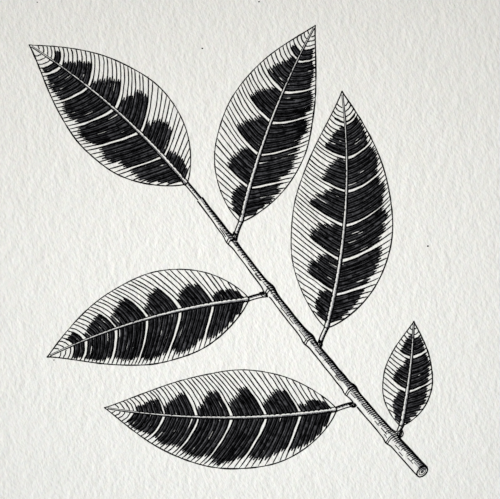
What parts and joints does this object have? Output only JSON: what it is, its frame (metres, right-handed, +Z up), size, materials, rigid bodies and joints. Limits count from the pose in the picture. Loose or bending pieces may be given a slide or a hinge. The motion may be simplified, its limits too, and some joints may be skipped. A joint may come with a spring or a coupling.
{
  "type": "sheet of paper with an ink drawing",
  "caption": "Small square sheet of heavy cold-press paper, flat with slightly curled corners, with a pen-and-ink drawing of a leafy twig on its upper face, for framing or display.",
  "frame": {"origin": "middle of the sheet's underside, on the surface that it lies on", "axes": "+Z up out of the drawn face; +Y towards the drawing's top edge; +X to the drawing's right"},
  "size_m": [0.127, 0.127, 0.0021],
  "materials": {
    "paper": "matt, uncoated, cold-press grain",
    "ink": "dried black pigment ink, soaked into the paper's face"
  },
  "bodies": {
    "root": {"sheet": "paper"}
  },
  "joints": []
}
